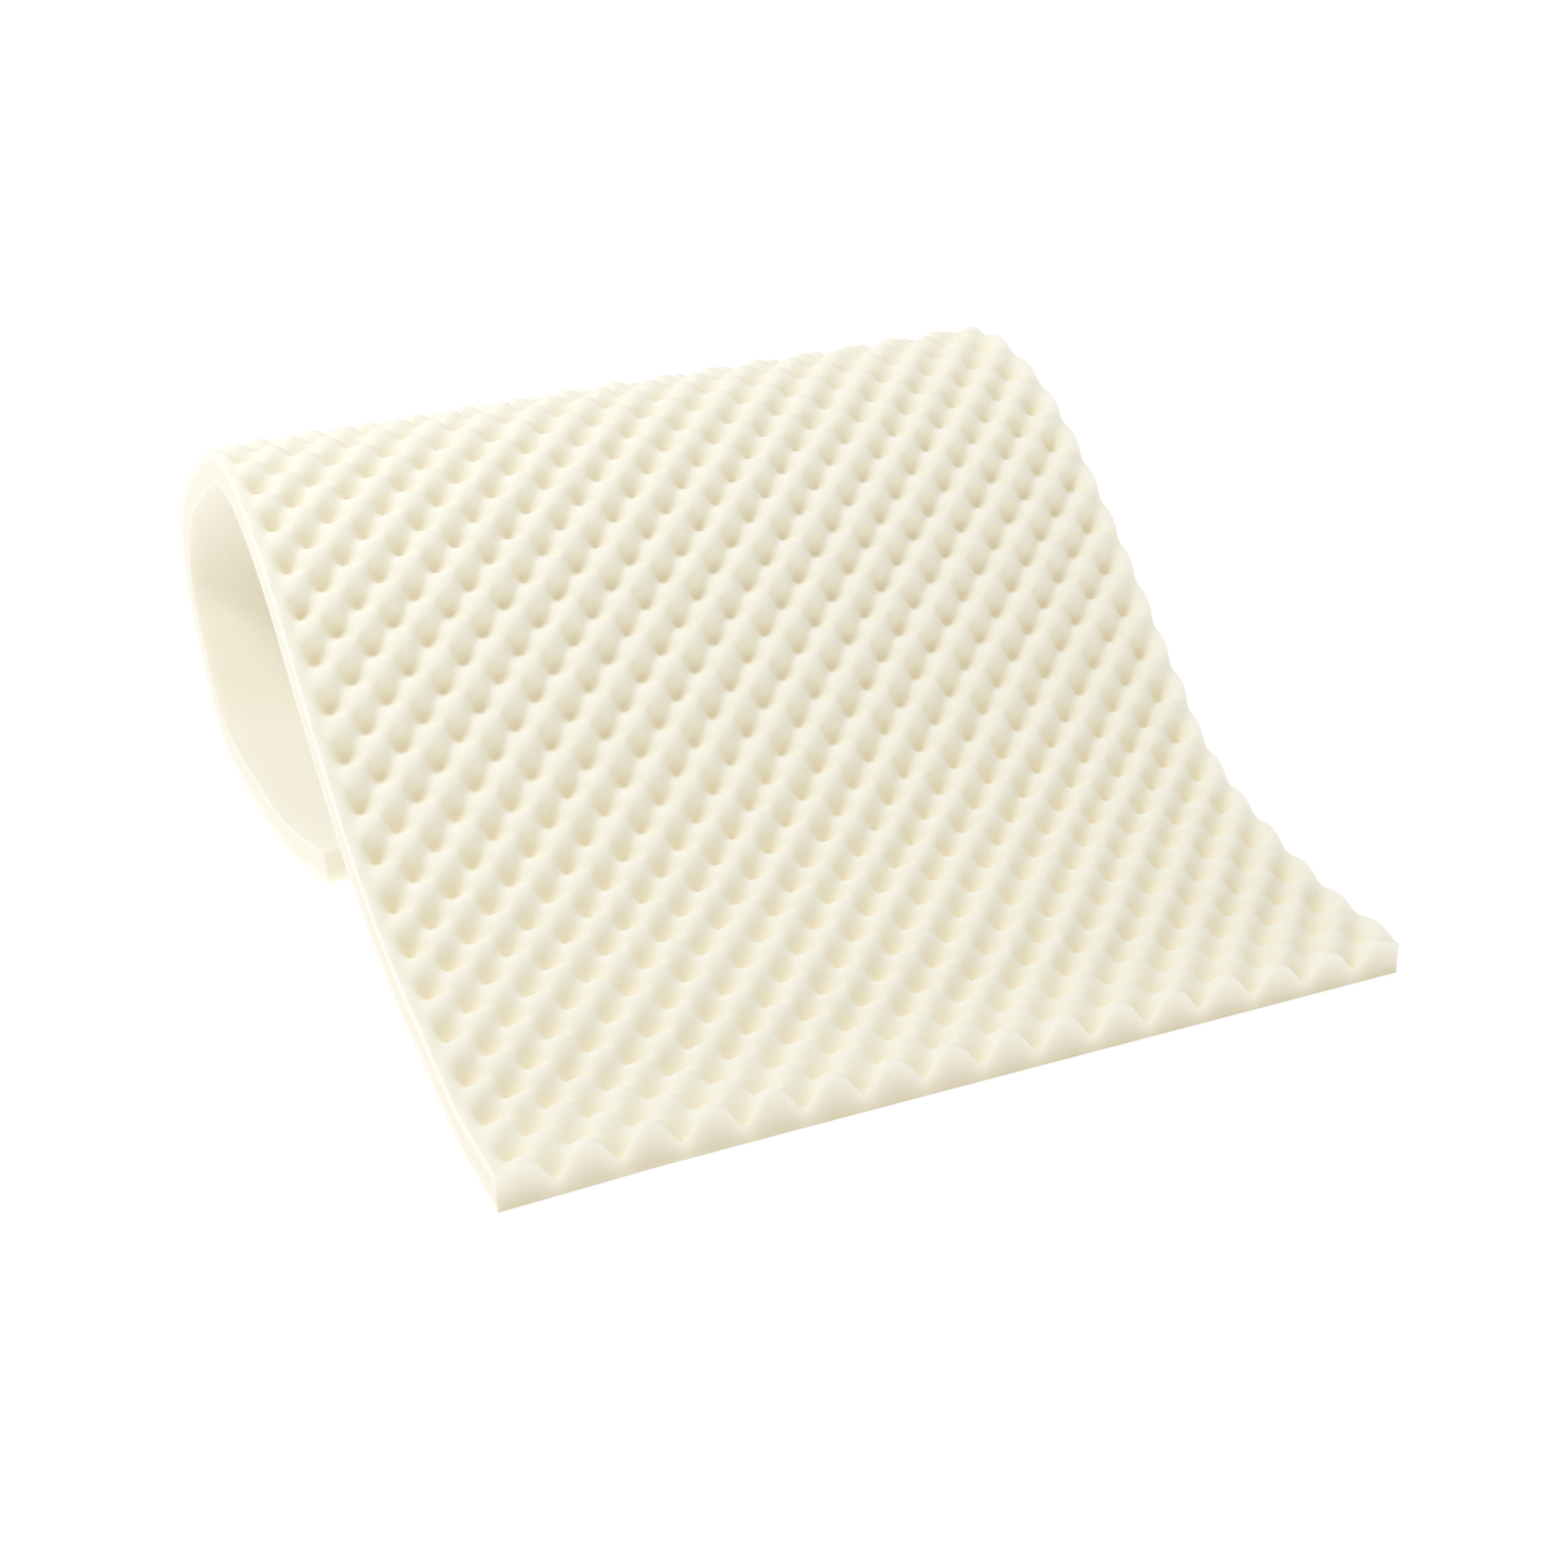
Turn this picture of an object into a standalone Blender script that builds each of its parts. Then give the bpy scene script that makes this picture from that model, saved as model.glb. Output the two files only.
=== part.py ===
# A convoluted foam mattress topper, lying with its front end flat and its far end curled under.
# Metres, +Z up. X runs across the width, Y from the front end to the curl, and Z 0 is the floor.
import math

import bmesh
import bpy
import numpy as np

# Flat size of the foam, before it is curled
WIDTH = 0.990
LENGTH = 2.075
PEAK_THICKNESS = 0.043
HOLLOW_THICKNESS = 0.015

# Bumps: a peak and a hollow take turns in both directions, so one pitch holds one of each
PITCH_ACROSS = 0.0625
PITCH_ALONG = 0.0605
LEFT_EDGE_TO_HOLLOW = 0.028
FRONT_EDGE_TO_HOLLOW = 0.035
# Above 1 the peaks are broad and round and the hollows narrow
PEAK_BREADTH = 1.6
# The bumps fade towards both side edges: into a smooth strip on the left, and only in part on the right
FADE_WIDTH = 0.024
LEFT_EDGE_THICKNESS = 0.040
RIGHT_EDGE_THICKNESS = 0.042
RIGHT_EDGE_BUMPS = 0.35

# The front end lies a little uneven: share of the width from the left, and how far it is drawn back there.
# The bumps follow it, and it evens out over this distance up the ramp. The underside has only a share of it.
FRONT_EVENS_OUT = 0.45
FOOT_SHARE = 0.4
FRONT_DRAWN_BACK = (
    (0.00, 0.003),
    (0.15, 0.013),
    (0.30, 0.013),
    (0.50, 0.010),
    (0.75, 0.005),
    (1.00, 0.000),
)

# The rows of bumps are not quite evenly spaced: distance from the front end, and how far the row there lies
# further back than it would, at the left and at the right edge
ROWS_DRIFT = (
    (0.00, 0.000, 0.000),
    (0.03, 0.000, 0.000),
    (0.10, 0.010, 0.014),
    (0.33, 0.014, 0.017),
    (0.55, 0.027, 0.021),
    (0.73, 0.028, 0.011),
    (0.89, 0.018, -0.004),
    (1.10, 0.002, -0.014),
    (1.40, 0.000, 0.000),
)

# The curl is followed along the smooth underside in steps of this length
CURL_STEP = 0.002
# Grid lines are left out nearer to a cut edge than this share of half a pitch
CLOSEST_LINE = 0.2
# A point nearer to a cut edge than this is on it
SAME_PLACE = 0.00001
# Edges that bend more than this stay sharp
SHARP_EDGE_DEGREES = 60

# Sections of the curl from the front end: name, length, and heading at the section's end in degrees.
# The heading is 0 where the foam runs level to the back, 90 where it climbs and -90 where it drops.
SECTIONS = (
    ("front end flat on the floor", 0.077, 0),
    ("foam lifts off the floor", 0.070, 15),
    ("low ramp", 0.140, 15),
    ("ramp gets steeper", 0.140, 29),
    ("ramp", 0.140, 39),
    ("steep ramp", 0.205, 42.5),
    ("shoulder", 0.105, 31),
    ("top of the shoulder", 0.090, 18),
    ("crest", 0.115, -26),
    ("back slope", 0.140, -32),
    ("back slope gets steeper", 0.105, -60),
    ("back of the curl", 0.105, -118),
    ("lower back of the curl", 0.080, -128.5),
    ("curl turns under", 0.115, -178),
    ("curl lies on the floor", 0.170, -182),
    ("tail lifts", 0.125, -193),
    ("tail", 0.153, -198),
)

# The hump is not quite even: its right end stands this much higher than its middle, and its left end lower
HUMP_STARTS = 0.35
HUMP_ENDS = 1.62
HUMP_LEAN = 0.011
# The right edge wanders: distance from the front end, and how far the edge there lies to the right of straight
RIGHT_EDGE_WANDERS = (
    (0.00, -0.004),
    (0.10, -0.003),
    (0.20, -0.012),
    (0.30, -0.013),
    (0.40, -0.007),
    (0.48, 0.004),
    (0.60, 0.010),
    (0.70, 0.010),
    (0.82, 0.005),
    (0.90, 0.003),
    (1.00, -0.006),
    (1.15, -0.006),
    (1.40, 0.000),
)
# The foam next to the right edge follows it, and less so the further in it lies
WANDER_FADES = 4

FOAM_COLOUR = (0.905, 0.865, 0.745, 1.0)
FOAM_ROUGHNESS = 0.95


def curl_path():
    """Distance along the underside, its heading in radians, and its Y and Z at each step."""
    ends = np.cumsum([0.0] + [length for name, length, heading in SECTIONS])
    headings = np.radians([0.0] + [heading for name, length, heading in SECTIONS])
    along = np.linspace(0.0, LENGTH, round(LENGTH / CURL_STEP) + 1)
    heading = np.interp(along, ends, headings)
    middle = (heading[1:] + heading[:-1]) / 2
    step = along[1] - along[0]
    y = np.concatenate(([0.0], np.cumsum(np.cos(middle) * step)))
    z = np.concatenate(([0.0], np.cumsum(np.sin(middle) * step)))
    return along, heading, y, z


PATH_ALONG, PATH_HEADING, PATH_Y, PATH_Z = curl_path()


def hump_share(along):
    """1 at the middle of the hump, falling smoothly to 0 at its two ends."""
    place = (along - HUMP_STARTS) / (HUMP_ENDS - HUMP_STARTS)
    return math.sin(math.pi * place) ** 2 if 0 < place < 1 else 0.0


def drawn_back(across, along, height):
    """How far the foam is drawn back here: most at the front end's rim, and not at all up the ramp."""
    shares, distances = zip(*FRONT_DRAWN_BACK)
    at_front = np.interp(across / WIDTH + 0.5, shares, distances)
    lean = FOOT_SHARE + (1 - FOOT_SHARE) * height / PEAK_THICKNESS
    return at_front * lean * max(1 - along / FRONT_EVENS_OUT, 0.0)


def rows_drift(across, along):
    """How much further back a row of bumps lies here than at even spacing."""
    places, left, right = zip(*ROWS_DRIFT)
    share = across / WIDTH + 0.5
    return np.interp(along, places, left) * (1 - share) + np.interp(along, places, right) * share


def on_curl(across, along, height):
    """Place a point of the flat foam on the curl: across, along and above its underside."""
    along += drawn_back(across, along, height) + rows_drift(across, along)
    heading = np.interp(along, PATH_ALONG, PATH_HEADING)
    side = 2 * across / WIDTH
    places, edge = zip(*RIGHT_EDGE_WANDERS)
    x = across + np.interp(along, places, edge) * (0.5 + side / 2) ** WANDER_FADES
    y = np.interp(along, PATH_ALONG, PATH_Y) - math.sin(heading) * height
    z = np.interp(along, PATH_ALONG, PATH_Z) + math.cos(heading) * height
    z += HUMP_LEAN * hump_share(along) * side
    return x, y, max(z, 0.0)


def smooth_share(share):
    """From 0 to 1 with a soft start and a soft end."""
    share = min(share, 1.0)
    return share * share * (3 - 2 * share)


def foam_height(across, along):
    """Thickness of the foam at a point: waves in both directions multiply into peaks and hollows."""
    from_left = across + WIDTH / 2
    wave_across = math.cos(2 * math.pi * (from_left - LEFT_EDGE_TO_HOLLOW) / PITCH_ACROSS)
    wave_along = math.cos(2 * math.pi * (along - FRONT_EDGE_TO_HOLLOW) / PITCH_ALONG)
    depth = ((1 + wave_across * wave_along) / 2) ** PEAK_BREADTH
    bumpy = PEAK_THICKNESS - (PEAK_THICKNESS - HOLLOW_THICKNESS) * depth
    if across < 0:
        return LEFT_EDGE_THICKNESS + (bumpy - LEFT_EDGE_THICKNESS) * smooth_share(from_left / FADE_WIDTH)
    share = smooth_share((WIDTH - from_left) / FADE_WIDTH)
    share = RIGHT_EDGE_BUMPS + (1 - RIGHT_EDGE_BUMPS) * share
    return RIGHT_EDGE_THICKNESS + (bumpy - RIGHT_EDGE_THICKNESS) * share


def grid_lines(size, first_hollow, pitch):
    """Lines of the grid along one direction: both cut edges, and each peak and hollow between them."""
    half = pitch / 2
    first = first_hollow - half * math.floor(first_hollow / half)
    inner = np.arange(first, size, half)
    margin = half * CLOSEST_LINE
    inner = inner[(inner > margin) & (inner < size - margin)]
    return np.concatenate(([0.0], inner, [size]))


def build_topper(collection):
    """The foam as one closed solid."""
    columns = grid_lines(WIDTH, LEFT_EDGE_TO_HOLLOW, PITCH_ACROSS)
    rows = grid_lines(LENGTH, FRONT_EDGE_TO_HOLLOW, PITCH_ALONG)
    bm = bmesh.new()
    bmesh.ops.create_grid(bm, x_segments=len(columns) - 1, y_segments=len(rows) - 1, size=0.5)
    # The grid spans one unit, so a vertex's place in it gives its column and row
    for vertex in bm.verts:
        column = round((vertex.co.x + 0.5) * (len(columns) - 1))
        row = round((vertex.co.y + 0.5) * (len(rows) - 1))
        vertex.co = (columns[column] - WIDTH / 2, rows[row], 0.0)
    bmesh.ops.poke(bm, faces=bm.faces[:])
    top = list(bm.verts)

    # The cut edges run down to the underside, which is smooth and level across
    rim = [edge for edge in bm.edges if edge.is_boundary]
    walls = bmesh.ops.extrude_edge_only(bm, edges=rim)["geom"]
    bottom = [item for item in walls if isinstance(item, bmesh.types.BMVert)]
    left = [v for v in bottom if v.co.x < SAME_PLACE - WIDTH / 2]
    right = [v for v in bottom if v.co.x > WIDTH / 2 - SAME_PLACE]
    left.sort(key=lambda v: v.co.y)
    right.sort(key=lambda v: v.co.y)
    side = set(left) | set(right)
    front = sorted((v for v in bottom if v.co.y < LENGTH / 2 and v not in side), key=lambda v: v.co.x)
    back = sorted((v for v in bottom if v.co.y > LENGTH / 2 and v not in side), key=lambda v: v.co.x)
    last = len(left) - 1
    for row in range(last):
        ring = [left[row], left[row + 1]]
        if row == last - 1:
            ring += back
        ring += [right[row + 1], right[row]]
        if row == 0:
            ring += reversed(front)
        bm.faces.new(ring)

    for vertex in top:
        across, along = vertex.co.x, vertex.co.y
        vertex.co = on_curl(across, along, foam_height(across, along))
    for vertex in bottom:
        vertex.co = on_curl(vertex.co.x, vertex.co.y, 0.0)
    bmesh.ops.recalc_face_normals(bm, faces=bm.faces[:])

    # The origin is under the middle of the whole shape
    x = [vertex.co.x for vertex in bm.verts]
    y = [vertex.co.y for vertex in bm.verts]
    middle = ((min(x) + max(x)) / 2, (min(y) + max(y)) / 2, 0.0)
    bmesh.ops.translate(bm, verts=bm.verts, vec=(-middle[0], -middle[1], 0.0))
    mesh = bpy.data.meshes.new("foam_topper")
    bm.to_mesh(mesh)
    bm.free()
    topper = bpy.data.objects.new("foam_topper", mesh)
    collection.objects.link(topper)
    return topper


def foam_material():
    """Matt ivory foam."""
    material = bpy.data.materials.new("ivory_foam")
    material.use_nodes = True
    shader = material.node_tree.nodes["Principled BSDF"]
    shader.inputs["Base Color"].default_value = FOAM_COLOUR
    shader.inputs["Roughness"].default_value = FOAM_ROUGHNESS
    shader.inputs["Metallic"].default_value = 0.0
    return material


def main():
    for item in list(bpy.data.objects):
        bpy.data.objects.remove(item, do_unlink=True)
    collection = bpy.data.collections.new("mattress_topper")
    bpy.context.scene.collection.children.link(collection)
    topper = build_topper(collection)
    topper.data.materials.append(foam_material())
    topper.data.shade_smooth()
    topper.data.set_sharp_from_angle(angle=math.radians(SHARP_EDGE_DEGREES))


main()
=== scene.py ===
import bpy
import bmesh
import math
import numpy as np
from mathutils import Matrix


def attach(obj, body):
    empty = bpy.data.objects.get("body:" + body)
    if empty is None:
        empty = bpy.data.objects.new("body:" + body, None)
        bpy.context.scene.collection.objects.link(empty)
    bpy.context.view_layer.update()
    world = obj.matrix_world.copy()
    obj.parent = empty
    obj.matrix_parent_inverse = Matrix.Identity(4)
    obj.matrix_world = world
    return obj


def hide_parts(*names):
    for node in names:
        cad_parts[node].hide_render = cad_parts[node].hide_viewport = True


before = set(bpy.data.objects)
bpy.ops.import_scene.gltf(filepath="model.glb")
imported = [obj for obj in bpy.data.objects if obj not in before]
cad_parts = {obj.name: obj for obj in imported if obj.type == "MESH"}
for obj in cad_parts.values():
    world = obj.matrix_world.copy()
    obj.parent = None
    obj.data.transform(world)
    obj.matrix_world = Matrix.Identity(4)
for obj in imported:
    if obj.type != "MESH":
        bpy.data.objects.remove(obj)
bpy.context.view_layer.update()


# Shader maths: an expression on values adds its Math nodes
class Wire:
    def __init__(self, tree, socket):
        self.tree = tree
        self.socket = socket

    def math(self, operation, *others, swap=False):
        values = [self, *others]
        if swap:
            values = values[::-1]
        return addNode(self.tree, "ShaderNodeMath", {"operation": operation}, dict(enumerate(values)))

    def __add__(self, other):
        return self.math("ADD", other)

    __radd__ = __add__

    def __sub__(self, other):
        return self.math("SUBTRACT", other)

    def __rsub__(self, other):
        return self.math("SUBTRACT", other, swap=True)

    def __mul__(self, other):
        return self.math("MULTIPLY", other)

    __rmul__ = __mul__

    def __pow__(self, other):
        return self.math("POWER", other)


def addNode(tree, kind, settings=None, inputs=None, output=0):
    # settings first, then values or links of the sockets, by name or number
    node = tree.nodes.new(kind)
    for name, value in (settings or {}).items():
        setattr(node, name, value)
    for name, value in (inputs or {}).items():
        if isinstance(value, Wire):
            tree.links.new(value.socket, node.inputs[name])
        else:
            node.inputs[name].default_value = value
    return Wire(tree, node.outputs[output])


def mixColours(tree, share, first, second):
    # on a Mix node set to colour, sockets 6 and 7 are its colours and output 2 is the mixed one
    return addNode(tree, "ShaderNodeMix", {"data_type": "RGBA"}, {0: share, 6: first, 7: second}, output=2)


# The foam, flat, in metres
foam = {
    "width": 0.990,
    "length": 2.075,
    "peakThickness": 0.043,
    "hollowThickness": 0.015,
    "pitchAcross": 0.0625,
    "pitchAlong": 0.0605,
    "leftEdgeToHollow": 0.028,
    "frontEdgeToHollow": 0.035,
    "peakBreadth": 1.6,  # above 1 the peaks are broad and the hollows narrow
    "fadeWidth": 0.024,  # this near to a side edge the bumps fade
    "leftEdgeThickness": 0.040,
    "rightEdgeThickness": 0.042,
    "rightEdgeBumps": 0.35,  # share of the bumps that is left at the right edge
    "cellsAcross": 190,
    "cellsAlong": 400,
    # rows of faces down each cut edge: share of the height where each ends, and how much of the painted
    # contact shadow the front cut has there
    "wallRows": [(1.0, 0.0), (0.6, 0.2), (0.3, 0.4), (0.08, 0.6), (0.0, 1.0)],
    "sideShade": 0.25,  # share of the painted shade on the other cut edges
    "underShade": 0.08,  # and on the underside
    "endFaceRows": 5,  # rows of cells that one large face covers at each end of the underside
    "sharpAngle": 50,
    # what is a little uneven: by how much, over what distance, and the number of its pattern
    "bumpsSideways": (0.0012, 0.23, 1.0),
    "bumpsLengthways": (0.0012, 0.21, 2.0),
    "bumpsUpward": (0.0012, 0.09, 3.0),
    "endCuts": (0.0008, 0.12, 4.0),
    "sideCuts": (0.0008, 0.15, 5.0),
    "cutStretch": 4.0,  # the cuts change this much faster up the wall than along it
}
samePlace = 1e-6  # on the flat unit sheet

# The curl along the smooth underside: name, length, heading in degrees at the section's end
curlSections = [
    ("front end flat on the floor", 0.077, 0),
    ("foam lifts off the floor", 0.070, 15),
    ("low ramp", 0.140, 15),
    ("ramp gets steeper", 0.140, 29),
    ("ramp", 0.140, 39),
    ("steep ramp", 0.205, 42.5),
    ("shoulder", 0.105, 31),
    ("top of the shoulder", 0.090, 18),
    ("crest", 0.115, -26),
    ("back slope", 0.140, -32),
    ("back slope gets steeper", 0.105, -60),
    ("back of the curl", 0.105, -118),
    ("lower back of the curl", 0.080, -128.5),
    ("curl turns under", 0.115, -178),
    ("curl lies on the floor", 0.170, -182),
    ("tail lifts", 0.125, -193),
    ("tail", 0.153, -198),
]

# How the foam lies
lay = {
    # the uneven front end: share of the width from the left, and how far the end is drawn back there
    "drawnBack": [(0.00, 0.003), (0.15, 0.013), (0.30, 0.013), (0.50, 0.010), (0.75, 0.005), (1.00, 0.000)],
    "evensOut": 0.45,  # this far up the ramp the front end's unevenness is gone
    "footShare": 0.4,  # and the underside has only this share of it
    # distance from the front end, and how far the row of bumps there has drifted back, at the left and right
    "rowsDrift": [
        (0.00, 0.000, 0.000),
        (0.03, 0.000, 0.000),
        (0.10, 0.010, 0.014),
        (0.33, 0.014, 0.017),
        (0.55, 0.027, 0.021),
        (0.73, 0.028, 0.011),
        (0.89, 0.018, -0.004),
        (1.10, 0.002, -0.014),
        (1.40, 0.000, 0.000),
    ],
    "humpStarts": 0.35,
    "humpEnds": 1.62,
    "humpLean": 0.011,  # the hump's right end is this much higher, and its left end lower
    # distance from the front end, and how far the right edge there lies to the right of straight
    "rightEdgeWanders": [
        (0.00, -0.004),
        (0.10, -0.003),
        (0.20, -0.012),
        (0.30, -0.013),
        (0.40, -0.007),
        (0.48, 0.004),
        (0.60, 0.010),
        (0.70, 0.010),
        (0.82, 0.005),
        (0.90, 0.003),
        (1.00, -0.006),
        (1.15, -0.006),
        (1.40, 0.000),
    ],
    "wanderFades": 4,  # the higher, the nearer to the edge the foam stays straight
    "step": 0.002,  # the curl is followed in steps of this length
}


# Layers of gentle unevenness: share, how much finer than the first, and the turn of its waves in radians
waveLayers = [(0.5, 1.0, 0.7), (0.3, 1.9, 2.6), (0.2, 3.1, 4.5)]
waveSquash = 0.8


def gentleWaves(a, b, uneven):
    # smooth unevenness over the sheet, the same each run
    reach, size, pattern = uneven
    total = np.zeros_like(a)
    for share, finer, turn in waveLayers:
        angle = turn + pattern
        ahead = (a * math.cos(angle) + b * math.sin(angle)) / size * finer
        aside = (b * math.cos(angle) - a * math.sin(angle)) / size * finer
        wave = np.sin(2 * math.pi * ahead + pattern)
        total += share * wave * np.cos(2 * math.pi * aside * waveSquash + 2 * pattern)
    return reach * total


def foamDepth(across, along):
    # 0 on a peak and 1 in a hollow
    fromLeft = across + foam["width"] / 2 + gentleWaves(across, along, foam["bumpsSideways"])
    fromFront = along + gentleWaves(across, along, foam["bumpsLengthways"])
    waveAcross = np.cos(2 * math.pi * (fromLeft - foam["leftEdgeToHollow"]) / foam["pitchAcross"])
    waveAlong = np.cos(2 * math.pi * (fromFront - foam["frontEdgeToHollow"]) / foam["pitchAlong"])
    return ((1 + waveAcross * waveAlong) / 2) ** foam["peakBreadth"]


def bumpShare(across):
    # 1 where the bumps are whole, less towards the side edges
    fromEdge = foam["width"] / 2 - np.abs(across)
    share = np.clip(fromEdge / foam["fadeWidth"], 0, 1)
    share = share * share * (3 - 2 * share)
    kept = np.where(across > 0, foam["rightEdgeBumps"], 0)
    return kept + (1 - kept) * share


def foamHeight(across, along):
    swing = foam["peakThickness"] - foam["hollowThickness"]
    bumpy = foam["peakThickness"] - swing * foamDepth(across, along)
    bumpy += gentleWaves(across, along, foam["bumpsUpward"])
    edge = np.where(across > 0, foam["rightEdgeThickness"], foam["leftEdgeThickness"])
    return edge + (bumpy - edge) * bumpShare(across)


def followCurl():
    # distance along the underside, its heading, and its y and z at each step
    ends = np.cumsum([0.0] + [length for name, length, heading in curlSections])
    headings = np.radians([0.0] + [heading for name, length, heading in curlSections])
    path = np.linspace(0, foam["length"], round(foam["length"] / lay["step"]) + 1)
    heading = np.interp(path, ends, headings)
    middle = (heading[1:] + heading[:-1]) / 2
    step = path[1]
    y = np.concatenate(([0.0], np.cumsum(np.cos(middle) * step)))
    z = np.concatenate(([0.0], np.cumsum(np.sin(middle) * step)))
    return path, heading, y, z


def shiftRows(along, share, height):
    # how far back the rows lie at this share of the width: the uneven front end and the drift of the rows
    shares, distances = zip(*lay["drawnBack"])
    lean = lay["footShare"] + (1 - lay["footShare"]) * height / foam["peakThickness"]
    fade = np.clip(1 - along / lay["evensOut"], 0, None) * lean
    places, left, right = zip(*lay["rowsDrift"])
    drift = np.interp(along, places, left) * (1 - share) + np.interp(along, places, right) * share
    return np.interp(share, shares, distances) * fade + drift


def layOnCurl(across, along, height):
    # from the flat foam to its place on the curl
    side = 2 * across / foam["width"]
    share = side / 2 + 0.5
    along = along + shiftRows(along, share, height)
    path, pathHeading, pathY, pathZ = followCurl()
    heading = np.interp(along, path, pathHeading)
    onHump = np.clip((along - lay["humpStarts"]) / (lay["humpEnds"] - lay["humpStarts"]), 0, 1)
    lean = lay["humpLean"] * np.sin(math.pi * onHump) ** 2 * side
    places, edge = zip(*lay["rightEdgeWanders"])
    x = across + np.interp(along, places, edge) * share ** lay["wanderFades"]
    y = np.interp(along, path, pathY) - np.sin(heading) * height
    z = np.interp(along, path, pathZ) + np.cos(heading) * height + lean
    return x, y, np.maximum(z, 0)


def selectEdges(wanted):
    bpy.ops.mesh.select_all(action="DESELECT")
    mesh = bmesh.from_edit_mesh(bpy.context.object.data)
    for edge in mesh.edges:
        if wanted(edge):
            edge.select_set(True)
    bmesh.update_edit_mesh(bpy.context.object.data)


def makeFlatFoam():
    # a unit sheet with its walls and underside, still flat: top at 0, underside at -1
    bpy.ops.object.select_all(action="DESELECT")
    cells = {"x_subdivisions": foam["cellsAcross"], "y_subdivisions": foam["cellsAlong"]}
    bpy.ops.mesh.primitive_grid_add(size=1, **cells)
    topper = bpy.context.object
    topper.name = "bumpyTopper"
    bpy.ops.object.mode_set(mode="EDIT")
    bpy.ops.mesh.select_mode(type="EDGE")
    selectEdges(lambda edge: edge.is_boundary)
    drops = len(foam["wallRows"]) - 1
    for row in range(drops):
        bpy.ops.mesh.extrude_region_move(TRANSFORM_OT_translate={"value": (0, 0, -1 / drops)})

    # the underside is one strip of faces across, row by row, closed by one larger face at each end
    endRow = 0.5 - (foam["endFaceRows"] - 0.5) / foam["cellsAlong"]

    def onSide(edge):
        middle = (edge.verts[0].co + edge.verts[1].co) / 2
        return edge.is_boundary and abs(middle.x) > 0.5 - samePlace and abs(middle.y) < endRow

    selectEdges(onSide)
    bpy.ops.mesh.bridge_edge_loops()
    for end in (-1, 1):
        selectEdges(lambda edge: edge.is_boundary and edge.verts[0].co.y * end > 0)
        bpy.ops.mesh.edge_face_add()
    bpy.ops.mesh.select_all(action="SELECT")
    bpy.ops.mesh.normals_make_consistent(inside=False)
    bpy.ops.object.mode_set(mode="OBJECT")
    return topper


def shapeTopper(topper):
    mesh = topper.data
    place = np.empty(len(mesh.vertices) * 3)
    mesh.vertices.foreach_get("co", place)
    place = place.reshape(-1, 3)
    across = place[:, 0] * foam["width"]
    along = (place[:, 1] + 0.5) * foam["length"]
    down = -place[:, 2]  # 0 on the bumpy face, 1 on the underside
    shares, tones = zip(*foam["wallRows"])
    steps = np.linspace(0, 1, len(shares))
    height = foamHeight(across, along) * np.interp(down, steps, shares)

    # painted shade at the foot: a painted contact shadow growing down the front cut, and an even painted
    # shade on the other cuts and the underside
    footShade = np.interp(down, steps, tones)
    elsewhere = np.where(footShade > 0, foam["sideShade"], 0)
    elsewhere = np.where(down > 1 - samePlace, foam["underShade"], elsewhere)
    footShade = np.where(place[:, 1] < samePlace - 0.5, footShade, elsewhere)

    # the walls are cut a little unevenly between their rim and their foot
    onWall = np.sin(math.pi * down)
    endWall = np.abs(place[:, 1]) > 0.5 - samePlace
    sideWall = np.abs(place[:, 0]) > 0.5 - samePlace
    upWall = height * foam["cutStretch"]
    along = along + np.where(endWall, onWall * gentleWaves(across, upWall, foam["endCuts"]), 0)
    across = across + np.where(sideWall, onWall * gentleWaves(along, upWall, foam["sideCuts"]), 0)
    x, y, z = layOnCurl(across, np.clip(along, 0, foam["length"]), height)

    # the colour needs the painted shade at the foot, and how deep each point of the bumpy face lies, which
    # sets the painted shade in the hollows
    hollow = np.where(down < samePlace, foamDepth(across, along) * bumpShare(across), 0.0)
    for name, values in (("hollow", hollow), ("footShade", footShade)):
        attribute = mesh.attributes.new(name, "FLOAT", "POINT")
        attribute.data.foreach_set("value", values.astype(np.float32))

    # the origin is under the middle of the whole shape
    middleX = (x.min() + x.max()) / 2
    middleY = (y.min() + y.max()) / 2
    place = np.stack([x - middleX, y - middleY, z], axis=1)
    mesh.vertices.foreach_set("co", place.astype(np.float32).ravel())
    mesh.update()
    bpy.ops.object.select_all(action="DESELECT")
    topper.select_set(True)
    bpy.context.view_layer.objects.active = topper
    bpy.ops.object.shade_smooth_by_angle(angle=math.radians(foam["sharpAngle"]))


# The foam's colours and surface
foamFinish = {
    "peakColour": (0.935, 0.883, 0.725, 1),
    # painted warm shade in the hollows, standing in for light bounced between the bumps
    "hollowShadeColour": (0.905, 0.830, 0.620, 1),
    "hollowFocus": 2.0,  # above 1 the painted shade keeps to the hollow's deepest part
    "footShadeColour": (0.400, 0.305, 0.110, 1),  # painted contact shadow, low on the front cut, where it meets the floor
    "mottle": 0.14,  # how far the tone drifts over the sheet
    "mottleFineness": 9.0,
    "mottleDetail": 3.0,
    "roughness": 0.94,
    "roughnessDrift": 0.05,
    "poreSize": 0.0011,
    "poreDepth": 0.00012,
    "skinSize": 0.006,  # soft unevenness of the cut skin
    "skinDepth": 0.00025,
    "gloss": 0.15,
    "softness": 0.55,  # how much light goes through the foam
    "softReach": 0.018,
    "softColours": (1.0, 0.97, 0.93),  # red light goes a little further than blue
}


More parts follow.
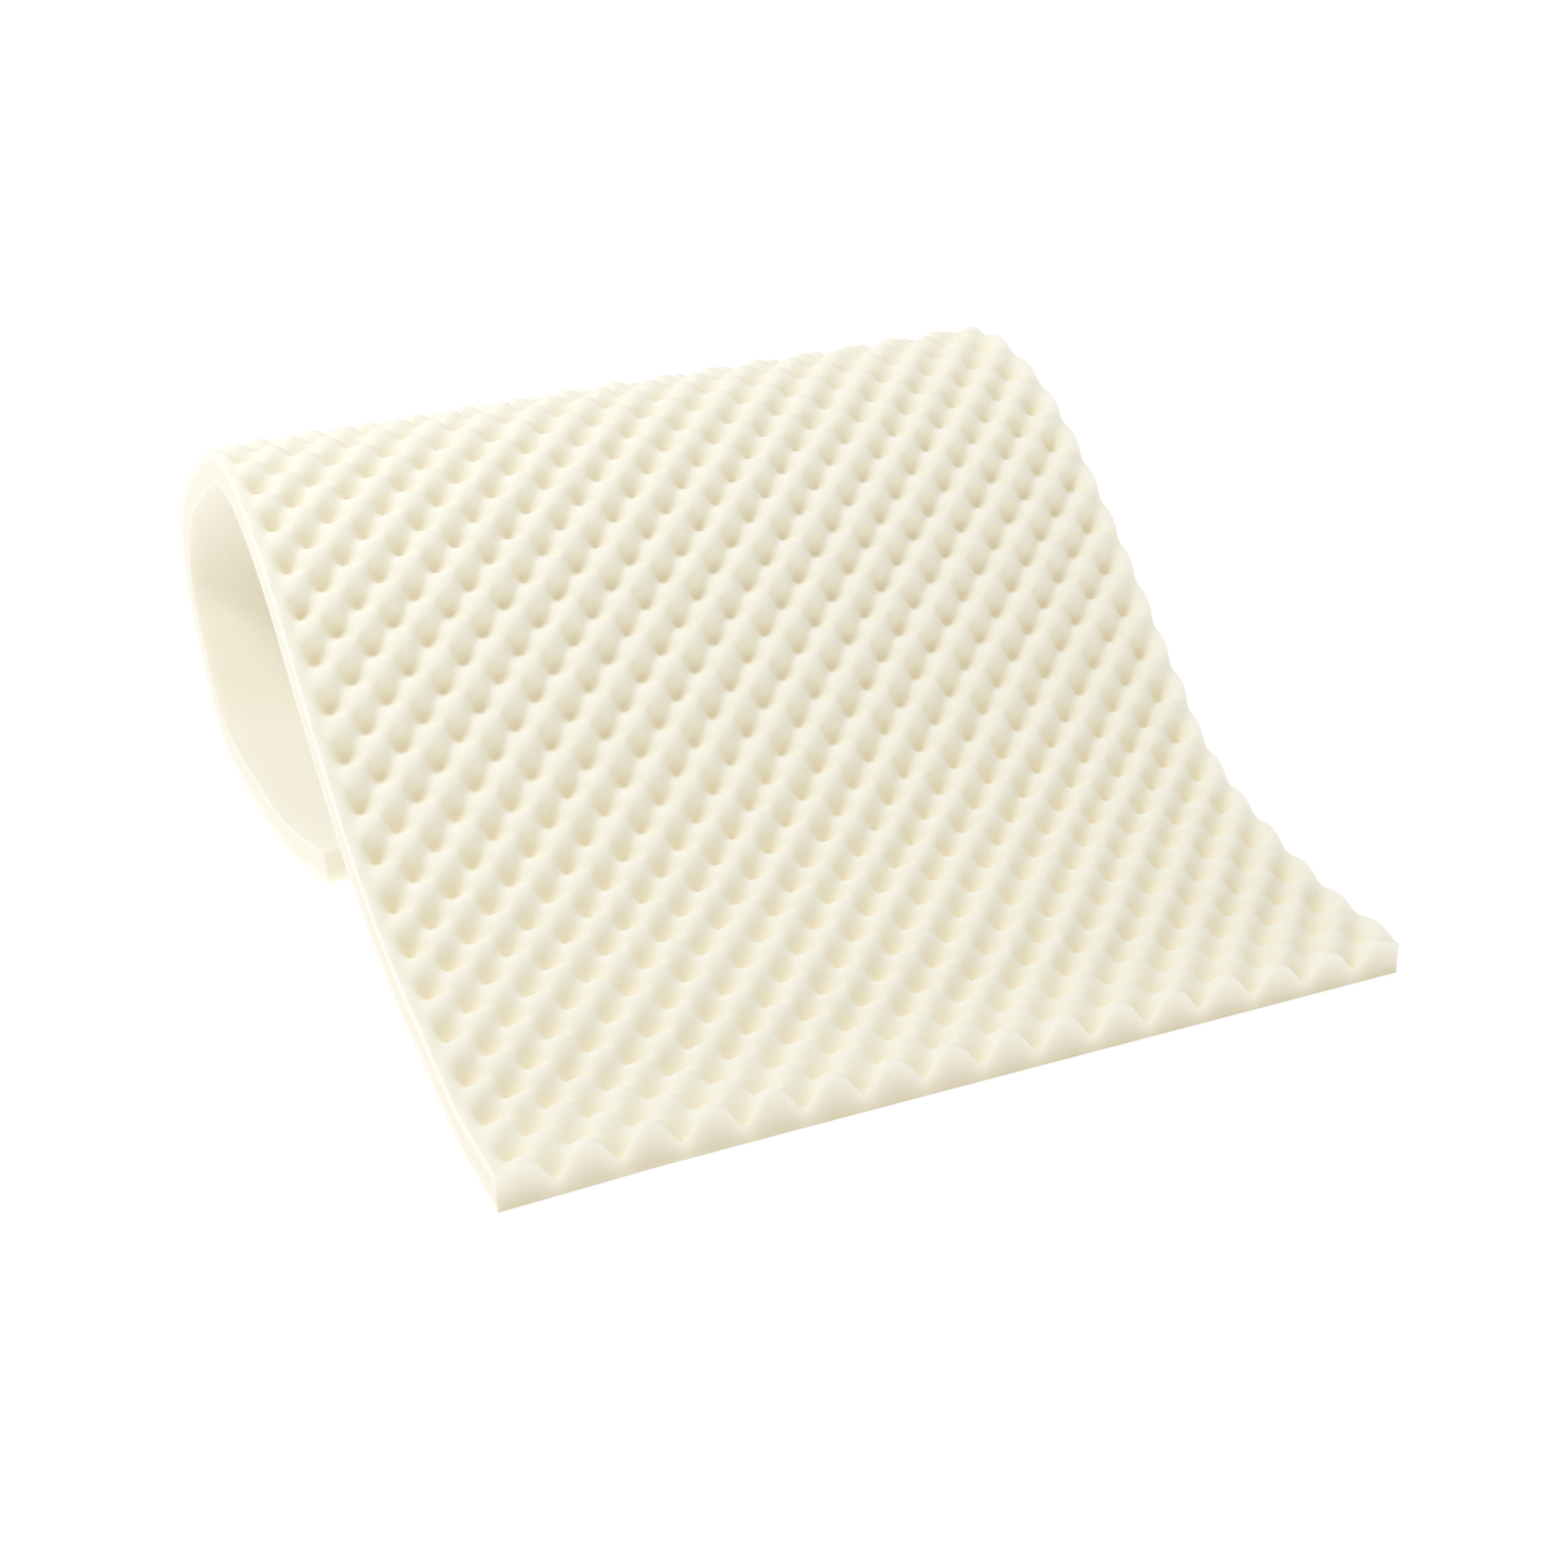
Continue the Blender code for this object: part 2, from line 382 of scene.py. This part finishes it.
def makeFoamMaterial():
    material = bpy.data.materials.new("ivoryFoam")
    material.use_nodes = True
    tree = material.node_tree
    shader = tree.nodes["Principled BSDF"]
    place = addNode(tree, "ShaderNodeTexCoord", output=3)
    hollow = addNode(tree, "ShaderNodeAttribute", {"attribute_name": "hollow"}, output=2)

    # tone: pale on the peaks, with painted warm shade in the hollows, drifting a little over the sheet
    mottle = {"Scale": foamFinish["mottleFineness"], "Detail": foamFinish["mottleDetail"]}
    drift = addNode(tree, "ShaderNodeTexNoise", inputs={"Vector": place, **mottle})
    share = hollow ** foamFinish["hollowFocus"] + (drift - 0.5) * foamFinish["mottle"]
    tone = mixColours(tree, share.math("MAXIMUM", 0.0), foamFinish["peakColour"], foamFinish["hollowShadeColour"])
    # painted contact shadow low on the front cut, and painted shade on the other cuts and the underside
    footShade = addNode(tree, "ShaderNodeAttribute", {"attribute_name": "footShade"}, output=2)
    tone = mixColours(tree, footShade, tone, foamFinish["footShadeColour"])
    tree.links.new(tone.socket, shader.inputs["Base Color"])

    # open cells: small round pores, and the skin's soft unevenness
    fineness = 1 / foamFinish["poreSize"]
    pores = addNode(tree, "ShaderNodeTexVoronoi", inputs={"Vector": place, "Scale": fineness})
    fineness = 1 / foamFinish["skinSize"]
    skin = addNode(tree, "ShaderNodeTexNoise", inputs={"Vector": place, "Scale": fineness})
    relief = pores * foamFinish["poreDepth"] + skin * foamFinish["skinDepth"]
    bump = addNode(tree, "ShaderNodeBump", inputs={"Strength": 1.0, "Distance": 1.0, "Height": relief})
    tree.links.new(bump.socket, shader.inputs["Normal"])
    rough = foamFinish["roughness"] + (skin - 0.5) * foamFinish["roughnessDrift"]
    tree.links.new(rough.socket, shader.inputs["Roughness"])
    shader.inputs["Specular IOR Level"].default_value = foamFinish["gloss"]
    shader.inputs["Subsurface Weight"].default_value = foamFinish["softness"]
    shader.inputs["Subsurface Radius"].default_value = foamFinish["softColours"]
    shader.inputs["Subsurface Scale"].default_value = foamFinish["softReach"]
    return material


def makeTopper():
    topper = makeFlatFoam()
    shapeTopper(topper)
    topper.data.materials.append(makeFoamMaterial())
    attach(topper, "root")
    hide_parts("foam_topper")
    triangles = sum(len(face.vertices) - 2 for face in topper.data.polygons)
    print("topper made,", triangles, "triangles")


# The floor has a glow of its own, so that it comes out white as in the photo
studio = {
    "floorSize": 40.0,
    "floorDrop": 0.0005,
    "floorColour": (0.90, 0.90, 0.90, 1),
    "floorRoughness": 0.9,
    "floorGlow": 0.64,
    "glowColour": (0.86, 0.90, 1.0, 1),
    "skyColour": (1.0, 0.95, 0.82, 1),
    "skyStrength": 0.50,
    "gamma": 1.65,  # a soft, light picture, as the photo is
}

# The lamps shine at the middle of the topper: name, place, size, power and colour
lamps = [
    ("keyLight", (-2.0, 0.35, 3.1), 1.0, 54.0, (0.89, 0.95, 1.05)),
    ("topLight", (0.3, 1.2, 3.2), 2.5, 14.0, (1.0, 0.97, 0.90)),
]


def makeStudio():
    bpy.ops.object.select_all(action="DESELECT")
    bpy.ops.mesh.primitive_plane_add(size=studio["floorSize"], location=(0, 0, -studio["floorDrop"]))
    floor = bpy.context.object
    floor.name = "studioFloor"
    material = bpy.data.materials.new("paleFloor")
    material.use_nodes = True
    shader = material.node_tree.nodes["Principled BSDF"]
    shader.inputs["Base Color"].default_value = studio["floorColour"]
    shader.inputs["Roughness"].default_value = studio["floorRoughness"]
    shader.inputs["Specular IOR Level"].default_value = 0.0
    shader.inputs["Emission Color"].default_value = studio["glowColour"]
    shader.inputs["Emission Strength"].default_value = studio["floorGlow"]
    floor.data.materials.append(material)

    world = bpy.data.worlds.new("studioSky")
    world.use_nodes = True
    sky = world.node_tree.nodes["Background"]
    sky.inputs["Color"].default_value = studio["skyColour"]
    sky.inputs["Strength"].default_value = studio["skyStrength"]
    bpy.context.scene.world = world

    for name, place, size, power, colour in lamps:
        bpy.ops.object.light_add(type="AREA", location=place)
        lamp = bpy.context.object
        lamp.name = name
        lamp.data.size = size
        lamp.data.energy = power
        lamp.data.color = colour
        lamp.rotation_euler = (-lamp.location).to_track_quat("-Z", "Y").to_euler()
    print("studio made")


# The camera stands at the front left, above the topper: metres, degrees and millimetres
cameraSet = {
    "place": (-0.9911, -2.3178, 1.2722),
    "turn": (64.27, 0.58, -24.66),
    "lens": 54.98,
    "sensor": 36.0,
}


def makeCamera():
    turn = [math.radians(angle) for angle in cameraSet["turn"]]
    bpy.ops.object.camera_add(location=cameraSet["place"], rotation=turn)
    camera = bpy.context.object
    camera.data.lens = cameraSet["lens"]
    camera.data.sensor_width = cameraSet["sensor"]
    bpy.context.scene.camera = camera
    print("camera placed")


makeCamera()
makeTopper()
makeStudio()
bpy.context.scene.view_settings.view_transform = "Standard"
bpy.context.scene.view_settings.gamma = studio["gamma"]
